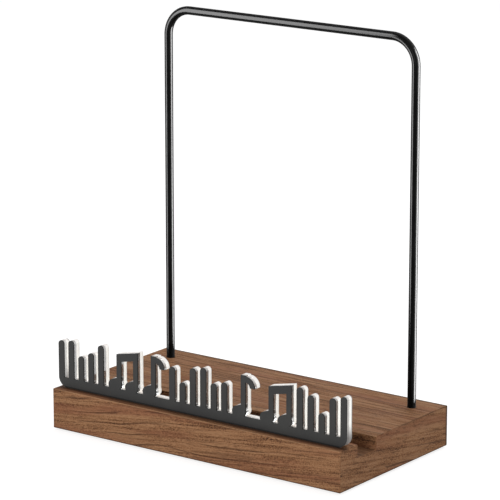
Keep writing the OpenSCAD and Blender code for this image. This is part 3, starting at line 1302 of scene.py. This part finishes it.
@dataclass
class Motif:
    """The row of sound bars and notes, measured from the left end of the sign and from its foot."""

    length: float
    height: float
    origin: Vector
    thickness: float
    bar_height: float = 7.7 * MM
    sound_bar: float = 5.2 * MM
    sound_gap: float = 4.2 * MM
    lowest_level: float = 0.45
    wave_step: float = 51.0
    wave_start: float = 60.0
    stem: float = 4.2 * MM
    head_length: float = 12.5 * MM
    head_height: float = 9 * MM
    head_tilt: float = 20.0
    head_sink: float = 1.5 * MM
    head_lap: float = 0.4 * MM
    pair_spacing: float = 15.5 * MM
    beam: float = 6 * MM
    beam_rise: float = 4 * MM
    flag_radius: float = 8 * MM
    flag: float = 4.2 * MM
    flag_drop: float = 0.6 * MM
    group_gap: float = 4.6 * MM
    round_steps: int = 14
    depth_step: float = 0.04 * MM
    over: float = 2 * MM

    @staticmethod
    def rounded(value: float) -> float:
        """Rounds a place to a hundredth of a millimetre."""
        return round(value / MM, 2) * MM

    def __post_init__(self) -> None:
        """Works out the places inside a note and the groups of the row."""
        tilt = math.radians(self.head_tilt)
        flat = self.head_length - self.head_height
        self.head_width = self.rounded(self.head_height + flat * math.cos(tilt))
        self.head_z = self.bar_height + self.head_height / 2 - self.head_sink
        self.stem_right = self.head_width - self.head_lap
        self.stem_left = self.stem_right - self.stem
        self.note_width = self.stem_right + self.flag_radius
        self.pair_width = self.stem_right + self.pair_spacing
        self.pitch = self.sound_bar + self.sound_gap
        room = self.length - 2 * (self.pair_width + self.note_width) - 6 * self.group_gap
        count = math.floor((room + 3 * self.sound_gap) / self.pitch)
        side = count // 3
        middle = count - 2 * side
        self.groups: list[tuple[str, int, int]] = [
            ("bars", 0, side), ("pair", 0, 0), ("note", 0, 0), ("bars", side, middle),
            ("note", 0, 0), ("pair", 0, 0), ("bars", side + middle, side),
        ]

    def _width(self, group: tuple[str, int, int]) -> float:
        """Gives the width of a group."""
        kind, _, count = group
        widths = {"pair": self.pair_width, "note": self.note_width}
        return widths.get(kind, count * self.pitch - self.sound_gap)

    def _bar_top(self, number: int) -> float:
        """Gives the height of a sound bar, counted from the left."""
        wave = abs(math.sin(math.radians(self.wave_start + number * self.wave_step)))
        level = self.lowest_level + (1 - self.lowest_level) * wave
        return self.rounded(self.bar_height + (self.height - self.bar_height) * level)

    def _slab(self, name: str, low: Span, high: Span) -> Piece:
        """Adds an upright slab, a little thicker than the one before, so that no faces coincide.

        Args:
            name: The name of the new object.
            low: Its left side and its foot, from the left end of the sign.
            high: Its right side and its top.

        Returns:
            The slab.
        """
        self.thickness += self.depth_step
        half = self.thickness / 2
        left, foot, rear = self.origin.x, self.origin.z, self.origin.y
        corner = Vector((left + low[0], rear - half, foot + low[1]))
        return Bench.box(name, corner, Vector((left + high[0], rear + half, foot + high[1])))

    def _sound_bars(self, left: float, first: int, count: int) -> list[Piece]:
        """Makes a group of sound bars with round tops.

        Args:
            left: The left side of the group.
            first: The number of its first bar in the whole row.
            count: The number of its bars.

        Returns:
            The bars.
        """
        bars = []
        for index in range(count):
            x = left + index * self.pitch
            top = self._bar_top(first + index)
            bar = self._slab("sound_bar", (x, self.bar_height / 2), (x + self.sound_bar, top))
            crown = self.origin.z + top - MERGE
            with Bench.editing(bar):
                Bench.bevel(
                    bar, lambda place, line: abs(line.y) > ALONG and place.z > crown,
                    self.sound_bar / 2, self.round_steps,
                )
            Bench.tidy(bar)
            bars.append(bar)
        return bars

    def _head(self, left: float) -> Piece:
        """Makes the tilted head of a note.

        Args:
            left: The left side of the head.

        Returns:
            The head.
        """
        centre = Vector((left + self.head_width / 2, self.head_z))
        half = Vector((self.head_length, self.head_height)) / 2
        head = self._slab("note_head", tuple(centre - half), tuple(centre + half))
        pivot = self.origin + Vector((centre.x, 0, centre.y))
        with Bench.editing(head):
            Bench.bevel(
                head, lambda _, line: abs(line.y) > ALONG, self.head_height / 2, self.round_steps
            )
            bpy.ops.mesh.select_all(action="SELECT")
            bpy.ops.transform.rotate(
                value=math.radians(self.head_tilt), orient_axis="Y", center_override=pivot
            )
        Bench.tidy(head)
        return head

    def _stem(self, left: float, top: float) -> Piece:
        """Makes the stem of a note whose head starts at this place."""
        return self._slab("stem", (left + self.stem_left, self.head_z), (left + self.stem_right, top))

    def _note(self, left: float) -> list[Piece]:
        """Makes a single note, whose flag is a quarter ring.

        Args:
            left: The left side of its head.

        Returns:
            Its head, stem and flag.
        """
        ring_x = left + self.stem_right
        ring_z = self.height - self.flag_drop - self.flag_radius
        top = ring_z + self.flag_radius
        flag = self._slab("flag", (ring_x - self.stem / 4, top - self.flag), (ring_x, top))
        centre = self.origin + Vector((ring_x, 0, ring_z))
        with Bench.editing(flag):
            Bench.pick(flag, Element.FACE, lambda _, normal: normal.x > ALONG)
            bpy.ops.mesh.spin(
                steps=self.round_steps * 2, angle=math.pi / 2, center=centre, axis=(0, -1, 0)
            )
        Bench.tidy(flag)
        return [self._head(left), self._stem(left, self.height), flag]

    def _pair(self, left: float) -> list[Piece]:
        """Makes two notes whose stems are joined by a rising beam.

        Args:
            left: The left side of the first head.

        Returns:
            The heads, the stems and the beam.
        """
        right = self.stem_right + self.pair_spacing
        low_top = self.height - self.beam_rise
        beam = self._slab(
            "beam", (left + self.stem_left, low_top - self.beam), (left + right, low_top)
        )
        far_end = self.origin.x + left + right - MERGE
        with Bench.editing(beam):
            Bench.pick(beam, Element.POINT, lambda place, _: place.x > far_end)
            bpy.ops.transform.translate(value=(0, 0, self.beam_rise))
        parts = [beam]
        for offset in (0.0, self.pair_spacing):
            rise = self.beam_rise * offset / (right - self.stem_left)
            parts.append(self._head(left + offset))
            parts.append(self._stem(left + offset, low_top - self.beam / 2 + rise))
        return parts

    def build(self) -> Piece:
        """Makes the whole outline as one solid that is thicker than the sign.

        Returns:
            The joined solid.
        """
        edge = self.length + self.over
        whole = self._slab("sign_outline", (-self.over, -self.over), (edge, self.bar_height))
        spread = self.length - sum(self._width(group) for group in self.groups)
        gap = spread / (len(self.groups) - 1)
        left = 0.0
        for group in self.groups:
            kind, first, count = group
            x = self.rounded(left)
            if kind == "bars":
                parts = self._sound_bars(x, first, count)
            else:
                parts = self._pair(x) if kind == "pair" else self._note(x)
            for part in parts:
                Bench.combine(whole, part, Cut.JOIN)
            left += self._width(group) + gap
        return whole


@dataclass
class Sign:
    """The sign on the lip: a black layer, a clear layer behind it and two pins in its foot."""

    corner: float = 8 * MM
    corner_steps: int = 16
    bond: float = 0.02 * MM
    stand_off: float = 0.02 * MM
    merge: float = 0.02 * MM
    spare: float = 2 * MM
    over: float = 10 * MM
    face_ease: float = 0.1 * MM
    clear_ease: float = 0.16 * MM
    ease_strips: int = 2
    eased_angle: float = 40.0
    sharp_angle: float = 35.0
    pin_gap: float = 0.05 * MM
    pin_end_gap: float = 0.3 * MM
    pin_run_in: float = MM
    pin_chamfer: float = 0.2 * MM
    pin_sides: int = 32

    def __post_init__(self) -> None:
        """Takes the corners of both layers from the frame."""
        self.low, self.front_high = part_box("sign_face")
        self.rear_low, self.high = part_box("sign_body")

    @staticmethod
    def pin_box(side: Side) -> tuple[Vector, Vector]:
        """Gives the corners of a pin."""
        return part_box(f"sign_pin_{side.name.lower()}")

    def _blank(self) -> Piece:
        """Makes the blank that the sign is cut from, with two round lower corners.

        Returns:
            The blank, deeper than the sign and open upwards past its top.
        """
        foot = self.low.z + self.stand_off
        blank = Bench.box(
            "sign_blank",
            Vector((self.low.x, self.low.y - self.over, foot)),
            Vector((self.high.x, self.high.y + self.over, self.high.z + self.over)),
        )
        with Bench.editing(blank):
            Bench.bevel(
                blank, lambda place, line: abs(line.y) > ALONG and place.z < foot + MERGE,
                self.corner, self.corner_steps,
            )
        return blank

    def _layer(self, outline: Piece, name: str, front: float, rear: float) -> Piece:
        """Slices one layer out of the outline.

        Args:
            outline: The thick outline.
            name: The name of the layer.
            front: Y of its front.
            rear: Y of its rear.

        Returns:
            The layer.
        """
        layer = Bench.copy(outline, name)
        with Bench.editing(layer):
            for y, away in ((front, -1), (rear, 1)):
                bpy.ops.mesh.select_all(action="SELECT")
                bpy.ops.mesh.bisect(
                    plane_co=(0, y, 0), plane_no=(0, away, 0), use_fill=True, clear_outer=True
                )
        Bench.tidy(layer)
        return layer

    def _bore(self, layer: Piece) -> None:
        """Bores the two pin holes into the foot of the clear layer.

        Args:
            layer: The clear layer.
        """
        for side in Side:
            low, high = self.pin_box(side)
            middle = (low + high) / 2
            foot = Vector((middle.x, middle.y, self.low.z - self.pin_run_in))
            drill = Bench.disc("drill", foot, (high.x - low.x) / 2 + self.pin_gap, self.pin_sides)
            with Bench.editing(drill):
                Bench.extrude((0, 0, high.z + self.pin_end_gap - self.low.z + self.pin_run_in))
            Bench.tidy(drill)
            Bench.combine(layer, drill, Cut.REMOVE)

    @staticmethod
    def _mark_cut_edges(layer: Piece) -> None:
        """Writes how far each cut face of a layer looks up, and how far it looks sideways.

        Args:
            layer: The layer.
        """
        tops, sides = [], []
        for face in layer.data.polygons:
            cut = abs(face.normal.y) < 0.5
            rise = max(face.normal.z, 0.0)
            tops.append(rise if cut else 0.0)
            sides.append(1 - rise if cut else 0.0)
        for name, values in ((CUT_TOP, tops), (CUT_SIDE, sides)):
            layer.data.attributes.new(name, "FLOAT", "FACE").data.foreach_set("value", values)

    def _pins(self, finish: Finish) -> None:
        """Makes one pin with chamfered ends, and its copy.

        Args:
            finish: The steel.
        """
        low, high = self.pin_box(Side.LEFT)
        left = Bench.cylinder("dowel_pin_left", low, high, self.pin_sides)
        with Bench.editing(left):
            Bench.bevel(
                left, lambda spot, _: min(spot.z - low.z, high.z - spot.z) < MERGE,
                self.pin_chamfer, self.ease_strips,
            )
        Bench.smooth(left, self.sharp_angle)
        right = Bench.copy(left, "dowel_pin_right")
        Bench.shift(right, self.pin_box(Side.RIGHT)[0] - low)
        for pin, side in ((left, Side.LEFT), (right, Side.RIGHT)):
            hand_over(pin, finish, Body.BASE, f"sign_pin_{side.name.lower()}")

    def build(self, face: Finish, clear: Finish, steel: Finish) -> None:
        """Makes both layers from one outline, and the pins.

        Args:
            face: The black sheet.
            clear: The clear sheet.
            steel: The steel of the pins.
        """
        outline = Motif(
            length=self.high.x - self.low.x,
            height=self.high.z - self.low.z,
            origin=Vector((self.low.x, (self.low.y + self.high.y) / 2, self.low.z)),
            thickness=self.high.y - self.low.y + self.spare,
        ).build()
        Bench.combine(outline, self._blank(), Cut.KEEP)
        Bench.order(outline)
        Bench.tidy(outline, self.merge)
        front = self._layer(outline, "sign_front_layer", self.low.y, self.front_high.y + self.bond)
        rear = self._layer(outline, "sign_clear_layer", self.rear_low.y, self.high.y)
        self._bore(rear)
        bpy.data.objects.remove(outline)
        for layer, ease, finish, slot, node in (
            (front, self.face_ease, face, Slot.FACE, "sign_face"),
            (rear, self.clear_ease, clear, Slot.CLEAR, "sign_body"),
        ):
            self._mark_cut_edges(layer)
            Bench.modify(
                layer, "BEVEL", width=ease, segments=self.ease_strips, limit_method="ANGLE",
                angle_limit=math.radians(self.eased_angle), use_clamp_overlap=True,
            )
            Bench.smooth(layer, self.sharp_angle)
            hand_over(layer, finish, Body.BASE, node)
        self._pins(steel)


@dataclass
class Feet:
    """The four rubber feet: one is modelled and copied to the other corners."""

    chamfer: float = 0.4 * MM
    chamfer_strips: int = 4
    rim: float = 1.1 * MM
    dish: float = 0.25 * MM
    sides: int = 48
    sharp_angle: float = 40.0
    names: tuple[str, ...] = ("front_left", "front_right", "rear_left", "rear_right")

    def _first(self, node: str) -> Piece:
        """Makes a foot with a round lower edge and a shallow dish inside its rim.

        Args:
            node: The solid that it stands for.

        Returns:
            The foot.
        """
        low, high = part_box(node)
        foot = Bench.cylinder("foot", low, high, self.sides)
        with Bench.editing(foot):
            Bench.bevel(
                foot, lambda place, _: place.z < low.z + MERGE, self.chamfer, self.chamfer_strips
            )
            Bench.pick(foot, Element.FACE, lambda _, normal: normal.z < -ALONG)
            bpy.ops.mesh.inset(thickness=self.rim)
            bpy.ops.mesh.inset(thickness=self.dish, depth=-self.dish)
        Bench.tidy(foot)
        Bench.smooth(foot, self.sharp_angle)
        return foot

    def build(self, finish: Finish) -> None:
        """Makes the feet.

        Args:
            finish: The rubber.
        """
        nodes = [f"foot_{name}" for name in self.names]
        first = self._first(nodes[0])
        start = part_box(nodes[0])[0]
        for node in nodes:
            foot = Bench.copy(first, f"rubber_{node}")
            Bench.shift(foot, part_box(node)[0] - start)
            hand_over(foot, finish, Body.BASE, node)
        bpy.data.objects.remove(first)


@dataclass
class SoftBox:
    """One soft studio light, aimed at a point."""

    name: str
    azimuth: float
    elevation: float
    distance: float
    width: float
    height: float
    watts: float

    def build(self, aim: Vector, *lit: Piece) -> None:
        """Hangs the light and turns it to a point.

        Args:
            aim: The point that it lights.
            lit: The pieces that the light is kept to, if it doesn't light everything.
        """
        lamp = bpy.data.lights.new(self.name, "AREA")
        lamp.shape = "RECTANGLE"
        lamp.size = self.width
        lamp.size_y = self.height
        lamp.energy = self.watts
        holder = bpy.data.objects.new(self.name, lamp)
        holder.location = aim + outward(self.azimuth, self.elevation) * self.distance
        holder.rotation_euler = (aim - holder.location).to_track_quat("-Z", "Y").to_euler()
        holder.visible_camera = False
        bpy.context.scene.collection.objects.link(holder)
        if lit:
            receivers = bpy.data.collections.new(f"{self.name}_receivers")
            for piece in lit:
                receivers.objects.link(piece)
            holder.light_linking.receiver_collection = receivers


@dataclass
class Studio:
    """The pale floor, the soft lights, the white surroundings and the camera."""

    floor_size: float = 24.0
    floor_drop: float = 0.02 * MM
    floor_grey: float = 0.82
    floor_glow: float = 0.8
    floor_answer: float = 0.42
    ambient: float = 0.45
    azimuth: float = 36.36411
    elevation: float = 14.07859
    distance: float = 2.19227
    target: Vector = field(default_factory=lambda: Vector((0.00148, 0.0, 0.14366)))
    lens: float = 216.95
    sensor: float = 36.0
    clip: Span = (0.05, 100.0)
    lights: tuple[SoftBox, ...] = (
        SoftBox("left_softbox", -41, 9, 1.7, 0.5, 0.7, 6.4),
        SoftBox("right_softbox", 17, 12, 1.7, 0.5, 0.7, 6.0),
        SoftBox("rear_softbox", 150, 14, 1.6, 0.4, 1.2, 3.5),
        SoftBox("overhead_softbox", 180, 66, 1.5, 1.2, 1.2, 7.3),
    )
    rod_lights: tuple[SoftBox, ...] = (
        SoftBox("left_strip", -44, 12, 1.2, 0.6, 1.62, 160.0),
        SoftBox("right_strip", 120, 0, 1.2, 0.7, 2.0, 560.0),
        SoftBox("right_fill", 92, 0, 1.2, 0.4, 1.8, 26.0),
    )

    @staticmethod
    def _seen(board: Board) -> Signal:
        """Tells the rays that see the background, directly or through gloss or glass.

        Args:
            board: The nodes of the floor or the world.

        Returns:
            1 for those rays and 0 for the rest.
        """
        rays = {signal.socket.name: signal for signal in board.add("ShaderNodeLightPath")}
        direct = board.math("MAXIMUM", rays["Is Camera Ray"], rays["Is Glossy Ray"])
        return board.math("MAXIMUM", direct, rays["Is Transmission Ray"])

    def _world(self) -> None:
        """Sets the surroundings: white where they are seen, soft grey light elsewhere."""
        world = bpy.data.worlds.new("studio")
        bpy.context.scene.world = world
        board = Board(world)
        grey, white = (
            board.add("ShaderNodeBackground", None, {"Color": WHITE, "Strength": strength})[0]
            for strength in (self.ambient, 1.0)
        )
        board.output(board.mix(self._seen(board), grey, white))

    def _floor(self) -> None:
        """Lays the floor, which looks white and keeps a faint shadow."""
        bpy.ops.mesh.primitive_plane_add(size=self.floor_size, location=(0, 0, -self.floor_drop))
        floor = Bench.added("studio_floor")
        board = Board.material("pale_floor")
        plain, answer = (
            board.add("ShaderNodeBsdfDiffuse", None, {"Color": (grey,) * 3})[0]
            for grey in (self.floor_grey, self.floor_answer)
        )
        glow = board.add("ShaderNodeEmission", None, {"Color": WHITE, "Strength": self.floor_glow})[0]
        shown = board.add("ShaderNodeAddShader", None, {0: answer, 1: glow})[0]
        floor.data.materials.append(board.output(board.mix(self._seen(board), plain, shown)))
        floor.visible_glossy = False

    def _camera(self) -> None:
        """Sets the camera at the photograph's angle."""
        camera = bpy.data.cameras.new("camera")
        camera.lens = self.lens
        camera.sensor_width = self.sensor
        camera.clip_start, camera.clip_end = self.clip
        holder = bpy.data.objects.new("camera", camera)
        back = outward(self.azimuth, self.elevation)
        holder.location = self.target + back * self.distance
        holder.rotation_euler = back.to_track_quat("Z", "Y").to_euler()
        bpy.context.scene.collection.objects.link(holder)
        bpy.context.scene.camera = holder

    def build(self) -> None:
        """Sets up everything round the object."""
        self._camera()
        self._world()
        self._floor()
        for light in self.lights:
            light.build(self.target)
        bpy.context.scene.view_settings.view_transform = "Standard"

    def light_rod(self, rod: Piece) -> None:
        """Stands the strip lights whose reflections run along the rod, and that light it alone."""
        for light in self.rod_lights:
            light.build(self.target, rod)


def main() -> None:
    """Builds the studio and the stand."""
    logging.basicConfig(level=logging.INFO, format="%(name)s: %(message)s")
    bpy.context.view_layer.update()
    studio = Studio()
    studio.build()
    rod_frame = RodFrame()
    sign = Sign()
    base = BaseBlock()
    base.build(WalnutFinish(base.low, base.high, sign.low.y).material(), rod_frame, sign)
    studio.light_rod(rod_frame.build(RodFinish().material()))
    clear = ClearFinish(sign.rear_low.y, sign.high.y, sign.low.z, sign.high.x)
    sign.build(FaceFinish(sign.low.z).material(), clear.material(), SteelFinish().material())
    Feet().build(RubberFinish().material())


if __name__ == "__main__":
    main()
